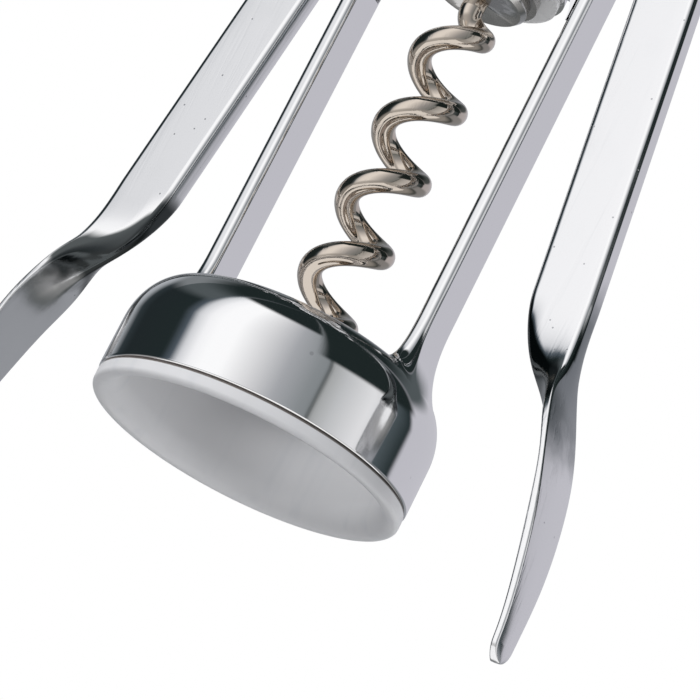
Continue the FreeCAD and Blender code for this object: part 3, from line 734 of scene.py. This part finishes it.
def involute_half_angle(radius):
    base_r = PINION_PITCH_R * cos(PRESSURE_ANGLE)
    at = acos(min(1, base_r / radius))
    start = PRESSURE_ANGLE
    pitch_half = (PITCH - BACKLASH) / 4 / PINION_PITCH_R
    return pitch_half + (tan(start) - start) - (tan(at) - at)


# The pinion's outline, seen from the front, with teeth where the wing's swing needs them
def pinion_outline(side):
    base_r = PINION_PITCH_R * cos(PRESSURE_ANGLE)
    step = 2 * pi / PINION_TEETH
    points = []

    def at(radius, turn):
        return (side * (PIVOT_X - radius * cos(turn)), PIVOT_Z + radius * sin(turn))

    for count in range(PINION_TEETH):
        middle = (count - TEETH_BELOW_CONTACT + 0.5) * step
        if count < TEETH_BELOW_CONTACT + TEETH_ABOVE_CONTACT:
            radii = [base_r + (PINION_TIP_R - base_r) * i / 5 for i in range(6)]
            points.append(at(PINION_ROOT_R, middle - involute_half_angle(base_r)))
            points += [at(r, middle - involute_half_angle(r)) for r in radii]
            points += [at(r, middle + involute_half_angle(r)) for r in radii[::-1]]
            points.append(at(PINION_ROOT_R, middle + involute_half_angle(base_r)))
        else:
            points += [at(PINION_ROOT_R, middle + step * (i / 4 - 0.5)) for i in range(5)]
    return points


# The pinion is rings of points: its hole and its outline, each at the back and at the front
def pinion_rows(side):
    outline = pinion_outline(side)
    centre = Vector((side * PIVOT_X, PIVOT_Z))
    chamfered, hole = [], []
    for point in outline:
        out = Vector(point) - centre
        chamfered.append(centre + out * (1 - PINION_EDGE / out.length))
        hole.append(centre + out.normalized() * PIVOT_HOLE_R)
    half = LEVER_T / 2
    rings = [
        (hole, -half), (chamfered, -half), (outline, -half + PINION_EDGE),
        (outline, half - PINION_EDGE), (chamfered, half), (hole, half), (hole, -half),
    ]
    return [[(point[0], y, point[1]) for point in ring] for ring, y in rings]


# Geometry node trees for what follows a rule
def new_tree(name, sizes, count):
    tree = bpy.data.node_groups.new(name, "GeometryNodeTree")
    kinds = {title: "NodeSocketFloat" for title in sizes}
    kinds.update({count: "NodeSocketInt", "Material": "NodeSocketMaterial"})
    for title, kind in kinds.items():
        tree.interface.new_socket(name=title, in_out="INPUT", socket_type=kind)
    tree.interface.new_socket(name="Geometry", in_out="OUTPUT", socket_type="NodeSocketGeometry")
    return tree, tree.nodes.new("NodeGroupInput").outputs


def finish_tree(tree, geometry, material):
    real = add_node(tree, "GeometryNodeRealizeInstances", {0: geometry})
    painted = add_node(tree, "GeometryNodeSetMaterial", {"Geometry": real.outputs[0], "Material": material})
    add_node(tree, "NodeGroupOutput", {"Geometry": painted.outputs[0]})
    return tree


def baked(name, tree, values, material):
    holder = bpy.data.objects.new(name + "_holder", bpy.data.meshes.new(name + "_empty"))
    bpy.context.scene.collection.objects.link(holder)
    modifier = holder.modifiers.new(name, "NODES")
    modifier.node_group = tree
    sockets = {item.name: item.identifier for item in tree.interface.items_tree if item.in_out == "INPUT"}
    for title, value in values.items():
        modifier[sockets[title]] = value
    modifier[sockets["Material"]] = material
    graph = bpy.context.evaluated_depsgraph_get()
    mesh = bpy.data.meshes.new_from_object(holder.evaluated_get(graph))
    holder.modifiers.clear()
    bpy.data.objects.remove(holder)
    mesh.name = name
    return mesh


# The worm's wire: a helix that winds in to the axis and goes straight up into the shaft
def worm_tree():
    tree, given = new_tree("worm wire", (
        "Wire radius", "Helix radius", "Pitch", "Phase height", "Phase angle", "Side shift",
        "Tip height", "Helix top", "Neck height", "Shank top", "Point rise",
    ), "Stations")
    line = add_node(tree, "GeometryNodeMeshLine", {
        "Count": given["Stations"], "Start Location": join(tree, Z=given["Tip height"]),
        "Offset": join(tree, Z=given["Shank top"]),
    }, mode="END_POINTS")
    curve = add_node(tree, "GeometryNodeMeshToCurve", {0: line.outputs[0]})
    z = split(tree, tree.nodes.new("GeometryNodeInputPosition").outputs[0])["Z"]
    past = add_math(tree, "SUBTRACT", z, given["Helix top"])
    past = add_math(tree, "DIVIDE", past, given["Neck height"], True)
    cubic = add_math(tree, "SUBTRACT", 3.0, product(tree, past, 2.0))
    ease = add_math(tree, "SUBTRACT", 1.0, product(tree, past, past, cubic))
    radius = product(tree, ease, given["Helix radius"])
    turns = add_math(tree, "DIVIDE", add_math(tree, "SUBTRACT", z, given["Phase height"]), given["Pitch"])
    angle = add_math(tree, "ADD", product(tree, turns, 2 * pi), given["Phase angle"])
    shift = product(tree, ease, given["Side shift"])
    x = add_math(tree, "ADD", shift, product(tree, radius, add_math(tree, "COSINE", angle)))
    y = product(tree, radius, add_math(tree, "SINE", angle))
    wound = add_node(tree, "GeometryNodeSetPosition", {
        "Geometry": curve.outputs[0], "Position": join(tree, X=x, Y=y, Z=z),
    })
    from_tip = add_math(tree, "SUBTRACT", z, given["Tip height"])
    share = add_math(tree, "DIVIDE", from_tip, given["Point rise"], True)
    size = add_math(tree, "ADD", product(tree, share, 1 - WORM_POINT_SHARE), WORM_POINT_SHARE)
    pointed = add_node(tree, "GeometryNodeSetCurveRadius", {"Curve": wound.outputs[0], "Radius": size})
    circle = add_node(tree, "GeometryNodeCurvePrimitiveCircle", {
        "Resolution": WORM_SIDES, "Radius": given["Wire radius"],
    })
    tube = add_node(tree, "GeometryNodeCurveToMesh", {
        "Curve": pointed.outputs[0], "Profile Curve": circle.outputs[0], "Fill Caps": True,
    })
    return finish_tree(tree, tube.outputs[0], given["Material"])


def worm_mesh():
    axis_z = SHAFT_BOTTOM_Z - WORM_NECK_GAP
    neck = WORM_NECK_TURN * HELIX_PITCH
    return baked("worm_wire", worm_tree(), {
        "Wire radius": WIRE_R * MM, "Helix radius": HELIX_R * MM, "Pitch": HELIX_PITCH * MM,
        "Phase height": HELIX_RIGHTMOST_Z * MM, "Phase angle": HELIX_RIGHTMOST_ANGLE,
        "Side shift": HELIX_OFF_X * MM, "Tip height": WORM_TIP_Z * MM, "Helix top": (axis_z - neck) * MM,
        "Neck height": neck * MM, "Shank top": (SHAFT_BOTTOM_Z + WORM_SHANK_L) * MM,
        "Point rise": WORM_POINT_RISE * MM, "Stations": WORM_STATIONS,
    }, WORM_NICKEL)


# The rack: one ring section swept round the shaft, repeated up it
def rack_tree():
    tree, given = new_tree("rack rings", (
        "Ring radius", "Ring depth", "Tip width", "Root width", "First height", "Pitch",
    ), "Count")
    path = add_node(tree, "GeometryNodeCurvePrimitiveCircle", {
        "Resolution": RING_STEPS, "Radius": given["Ring radius"],
    })
    section = add_node(tree, "GeometryNodeCurvePrimitiveQuadrilateral", {
        "Bottom Width": given["Root width"], "Top Width": given["Tip width"], "Height": given["Ring depth"],
        "Offset": 0.0,
    }, mode="TRAPEZOID")
    turned_out = add_node(tree, "GeometryNodeTransform", {
        "Geometry": section.outputs[0], "Rotation": (0.0, 0.0, -pi / 2),
    })
    ring = add_node(tree, "GeometryNodeCurveToMesh", {
        "Curve": path.outputs[0], "Profile Curve": turned_out.outputs[0],
    })
    line = add_node(tree, "GeometryNodeMeshLine", {
        "Count": given["Count"], "Start Location": join(tree, Z=given["First height"]),
        "Offset": join(tree, Z=given["Pitch"]),
    })
    rings = add_node(tree, "GeometryNodeInstanceOnPoints", {
        "Points": line.outputs[0], "Instance": ring.outputs[0],
    })
    return finish_tree(tree, rings.outputs[0], given["Material"])


def rack_rings_mesh():
    half_pitch = (PITCH - BACKLASH) / 4
    slope = tan(PRESSURE_ANGLE)
    depth = SHAFT_R - RACK_ROOT_R
    return baked("rack_rings", rack_tree(), {
        "Ring radius": (RACK_ROOT_R + SHAFT_R) / 2 * MM, "Ring depth": depth * MM,
        "Tip width": 2 * (half_pitch - RACK_ADDENDUM * slope) * MM,
        "Root width": 2 * (half_pitch + DEDENDUM * slope) * MM,
        "First height": (PIVOT_Z - (RINGS_BELOW_PIVOT - 1) * PITCH) * MM, "Pitch": PITCH * MM,
        "Count": RING_COUNT - 2,
    }, SHAFT_STEEL)


# The shaft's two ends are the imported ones. A plain core joins them inside the rings.
def shaft_piece():
    low = PIVOT_Z - (RINGS_BELOW_PIVOT - 0.5) * PITCH
    high = low + (RING_COUNT - 2) * PITCH
    bm = bmesh.new()
    for height, way in ((low, -1), (high, 1)):
        part = packed_mesh("rack_shaft")
        keep_above(part, (0, 0, height), (0, 0, way))
        end = bpy.data.meshes.new("shaft end")
        part.to_mesh(end)
        part.free()
        bm.from_mesh(end)
        bpy.data.meshes.remove(end)
    core_r = RACK_ROOT_R - CORE_INSET
    turns = [2 * pi * step / RING_STEPS for step in range(RING_STEPS)]
    ends = (low - CORE_LAP, high + CORE_LAP)
    add_loft(bm, [[(core_r * cos(turn), core_r * sin(turn), z) for turn in turns] for z in ends], False)
    return finish_mesh(bm, "ringed_shaft", False)


# Floor, studio and camera
def white_where_seen(tree, lit):
    path = tree.nodes.new("ShaderNodeLightPath").outputs
    seen = add_math(tree, "ADD", path["Is Camera Ray"], path["Is Glossy Ray"], True)
    seen = add_math(tree, "ADD", seen, path["Is Transmission Ray"], True)
    white = tree.nodes.new("ShaderNodeEmission").outputs[0]
    return add_node(tree, "ShaderNodeMixShader", {0: seen, 1: lit, 2: white}).outputs[0]


def make_floor():
    material, tree, shader, place = start_material("pale_floor")
    grain = add_noise(tree, place, 12.0, 2.0)
    set_inputs(tree, shader, {
        "Base Color": mix_tones(tree, grain, (0.80, 0.80, 0.80), (0.78, 0.78, 0.78)), "Roughness": 0.8,
    })
    set_inputs(tree, tree.nodes["Material Output"], {"Surface": white_where_seen(tree, shader.outputs[0])})
    bm = bmesh.new()
    bmesh.ops.create_grid(bm, x_segments=4, y_segments=4, size=FLOOR_HALF * MM)
    bmesh.ops.translate(bm, verts=bm.verts, vec=(0, 0, FLOOR_Z * MM))
    floor = bpy.data.objects.new("floor", finish_mesh(bm, "floor", False))
    floor.data.materials.append(material)
    bpy.context.scene.collection.objects.link(floor)


# What polished metal mirrors. Tones round the horizon come first, by degrees.
HORIZON = [
    (-180, (0.016, 0.022, 0.024)), (-144, (0.016, 0.024, 0.025)), (-136, (0.08, 0.10, 0.12)),
    (-130, (0.68, 0.69, 0.71)), (-121, (0.98, 0.98, 0.99)), (-112, (1.06, 1.06, 1.06)),
    (-98, (1.06, 1.06, 1.06)), (-77, (0.72, 0.72, 0.73)), (-58, (0.40, 0.41, 0.43)),
    (-40, (0.26, 0.28, 0.29)), (-34, (0.24, 0.26, 0.27)), (-31.5, (0.07, 0.08, 0.08)),
    (-29, (0.40, 0.41, 0.41)), (-17, (0.56, 0.57, 0.58)), (6, (0.80, 0.80, 0.81)),
    (20, (0.66, 0.66, 0.67)), (27, (0.08, 0.10, 0.11)), (46, (0.02, 0.03, 0.032)),
    (51, (0.55, 0.545, 0.59)), (112, (0.56, 0.555, 0.60)), (127, (0.22, 0.23, 0.25)),
    (148, (0.46, 0.48, 0.51)), (158, (0.34, 0.36, 0.38)), (168, (0.03, 0.04, 0.045)),
    (180, (0.016, 0.022, 0.024)),
]
# Above and below them are plain areas, each of which fades in or out between two angles in degrees.
BOX_SIDE = ((-140, -130), (-46, -34))
WINDOW_SIDE = ((-46, -34), (48, 58))
RIGHT_SIDE = ((20, 40), (140, 160))
BACK_SIDE = (108, 126)
BOX_TOP = (55, 61)
WINDOW_TOP = (26, 32)
HORIZON_TOP = (31, 40)
WALL_TOP = (44, 62)
LOWER_WALL_TOP = (3, 13)
TABLE_EDGE_TOP = (-20, -12)
TABLE_TOP = (-34, -16)
TABLE_SHARE = 0.8
CEILING = (0.014, 0.021, 0.021)
UPPER_WALL = (0.085, 0.10, 0.105)
BACK_WALL = (0.20, 0.215, 0.225)
LOWER_WALL = (0.30, 0.31, 0.33)
TABLE_SHADE = (0.42, 0.415, 0.41)
TABLE_EDGE = (0.05, 0.06, 0.06)
SOFT_LIGHT = (0.93, 0.94, 0.97, 1)
SOFT_LEVEL = 0.45


def add_ramp(tree, value, stops):
    node = add_node(tree, "ShaderNodeValToRGB", {0: value})
    elements = node.color_ramp.elements
    for index, (place, colour) in enumerate(stops):
        element = elements[index] if index < 2 else elements.new(place)
        element.position = place
        element.color = (*colour, 1)
    return node.outputs["Color"]


def mirrored_tones(tree):
    parts = split(tree, tree.nodes.new("ShaderNodeTexCoord").outputs["Generated"])
    azimuth = add_math(tree, "ARCTAN2", parts["Y"], parts["X"])

    def side(rise, fall):
        return add_band(tree, azimuth, [radians(turn) for turn in rise], [radians(turn) for turn in fall])

    def above(degrees):
        return add_range(tree, parts["Z"], *[sin(radians(turn)) for turn in degrees])

    def below(degrees):
        return add_range(tree, parts["Z"], *[sin(radians(turn)) for turn in degrees], 1.0, 0.0)

    round_share = add_math(tree, "ADD", add_math(tree, "DIVIDE", azimuth, 2 * pi), 0.5)
    horizon = add_ramp(tree, round_share, [((degrees + 180) / 360, colour) for degrees, colour in HORIZON])
    box, window, right = side(*BOX_SIDE), side(*WINDOW_SIDE), side(*RIGHT_SIDE)
    wall = add_math(tree, "SUBTRACT", add_math(tree, "SUBTRACT", 1.0, box), window, True)
    at_back = add_range(tree, azimuth, *[radians(turn) for turn in BACK_SIDE])
    upper_wall = mix_tones(tree, at_back, UPPER_WALL, BACK_WALL)
    tones = mix_tones(tree, product(tree, above(HORIZON_TOP), wall), horizon, upper_wall)
    dark = product(tree, above(BOX_TOP), box)
    for top, side_wall in ((WINDOW_TOP, window), (WALL_TOP, wall)):
        dark = add_math(tree, "MAXIMUM", dark, product(tree, above(top), side_wall))
    tones = mix_tones(tree, dark, tones, CEILING)
    tones = mix_tones(tree, product(tree, below(LOWER_WALL_TOP), right), tones, LOWER_WALL)
    tones = mix_tones(tree, product(tree, below(TABLE_EDGE_TOP), right), tones, TABLE_EDGE)
    return mix_tones(tree, product(tree, below(TABLE_TOP), TABLE_SHARE), tones, TABLE_SHADE)


def make_studio():
    world = bpy.data.worlds.new("studio")
    bpy.context.scene.world = world
    world.use_nodes = True
    tree = world.node_tree
    tree.nodes.clear()
    mirrored = add_node(tree, "ShaderNodeBackground", {"Color": mirrored_tones(tree)}).outputs[0]
    soft = add_node(tree, "ShaderNodeBackground", {"Color": SOFT_LIGHT, "Strength": SOFT_LEVEL}).outputs[0]
    white = add_node(tree, "ShaderNodeBackground", {"Color": (1, 1, 1, 1)}).outputs[0]
    path = tree.nodes.new("ShaderNodeLightPath").outputs
    seen = add_math(tree, "ADD", path["Is Camera Ray"], path["Is Transmission Ray"], True)
    lit = add_node(tree, "ShaderNodeMixShader", {0: path["Is Glossy Ray"], 1: soft, 2: mirrored}).outputs[0]
    shown = add_node(tree, "ShaderNodeMixShader", {0: seen, 1: lit, 2: white}).outputs[0]
    add_node(tree, "ShaderNodeOutputWorld", {"Surface": shown})


def make_lamp(name, place, size, power):
    lamp = bpy.data.lights.new(name, "AREA")
    lamp.size = size
    lamp.energy = power
    holder = bpy.data.objects.new(name, lamp)
    holder.location = Vector(place)
    holder.rotation_euler = (LAMP_AIM - Vector(place)).to_track_quat("-Z", "Y").to_euler()
    holder.visible_glossy = False
    bpy.context.scene.collection.objects.link(holder)


def make_camera():
    back = Vector((
        sin(VIEW_AZIMUTH) * cos(VIEW_ELEVATION), -cos(VIEW_AZIMUTH) * cos(VIEW_ELEVATION), sin(VIEW_ELEVATION)
    ))
    level = Vector((cos(VIEW_AZIMUTH), sin(VIEW_AZIMUTH), 0))
    rise = back.cross(level)
    right = level * cos(VIEW_ROLL) + rise * sin(VIEW_ROLL)
    up = rise * cos(VIEW_ROLL) - level * sin(VIEW_ROLL)
    aside = (ORIGIN_PX[0] - IMAGE_PX / 2) / PX_PER_MM
    down = (ORIGIN_PX[1] - IMAGE_PX / 2) / PX_PER_MM
    place = (back * VIEW_DISTANCE - right * aside + up * down) * MM
    camera = bpy.data.cameras.new("camera")
    camera.sensor_width = SENSOR_MM
    camera.lens = SENSOR_MM * VIEW_DISTANCE * PX_PER_MM / IMAGE_PX
    camera.clip_start = 0.01
    camera.clip_end = 10
    holder = bpy.data.objects.new("camera", camera)
    turn = Matrix((right, up, back)).transposed()
    holder.matrix_world = Matrix.Translation(place) @ turn.to_4x4()
    bpy.context.scene.collection.objects.link(holder)
    bpy.context.scene.camera = holder


bpy.context.scene.view_settings.view_transform = "Standard"
make_camera()
make_studio()
make_floor()
make_lamp("key", (-0.25, -0.75, 0.45), 0.7, 9.0)
make_lamp("fill", (0.7, 0.2, -0.15), 0.6, 3.0)

make_piece("bell", bell_piece(), "frame", BELL_CHROME, ["frame"])
make_piece("right_arm", loft("right_arm", arm_rows(1)), "frame", BELL_CHROME, ["frame"])
make_piece("left_arm", loft("left_arm", arm_rows(-1)), "frame", BELL_CHROME, ["frame"])
make_piece("head", head_piece(), "frame", BELL_CHROME, ["frame"])
make_piece("bell_liner_shell", liner_piece(), "frame", LINER_PLASTIC, ["bell_liner"])
for wing_name, wing_side in (("right", 1), ("left", -1)):
    wing_body = wing_name + "_wing"
    wing_node = wing_name + "_lever"
    blade = loft(wing_name + "_blade", wing_rows(wing_side))
    gear = loft(wing_name + "_pinion", pinion_rows(wing_side), False)
    make_piece(wing_name + "_blade", blade, wing_body, WING_CHROME, [wing_node])
    make_piece(wing_name + "_pinion", gear, wing_body, WING_CHROME, [wing_node])
make_piece("worm_wire", worm_mesh(), "shaft", WORM_NICKEL, ["worm"])
make_piece("ringed_shaft", shaft_piece(), "shaft", SHAFT_STEEL, ["rack_shaft"])
make_piece("rack_rings", rack_rings_mesh(), "shaft", SHAFT_STEEL)

COPIES = [
    ("handle", "loop_handle", "shaft", "handle_chrome", HANDLE_CHROME),
    ("handle_washer", "washer", "shaft", "pin_steel", PIN_STEEL),
    ("stop_ring", "stop_spring_ring", "shaft", "ring_steel", RING_STEEL),
    ("guide_ring", "guide_spring_ring", "frame", "ring_steel", RING_STEEL),
    ("guide_bush", "guide_sleeve", "guide", "bush_plastic", BUSH_PLASTIC),
    ("shaft_bearing", "bearing_sleeve", "frame", "bush_plastic", BUSH_PLASTIC),
    ("right_pivot_pin", "right_rivet", "frame", "pin_steel", PIN_STEEL),
    ("left_pivot_pin", "left_rivet", "frame", "pin_steel", PIN_STEEL),
    ("handle_pin", "handle_rivet", "shaft", "pin_steel", PIN_STEEL),
    ("worm_pin", "worm_rivet", "shaft", "pin_steel", PIN_STEEL),
]
for node, title, body, slot, material in COPIES:
    make_piece(title, finish_mesh(packed_mesh(node), title, False), body, material, [node])
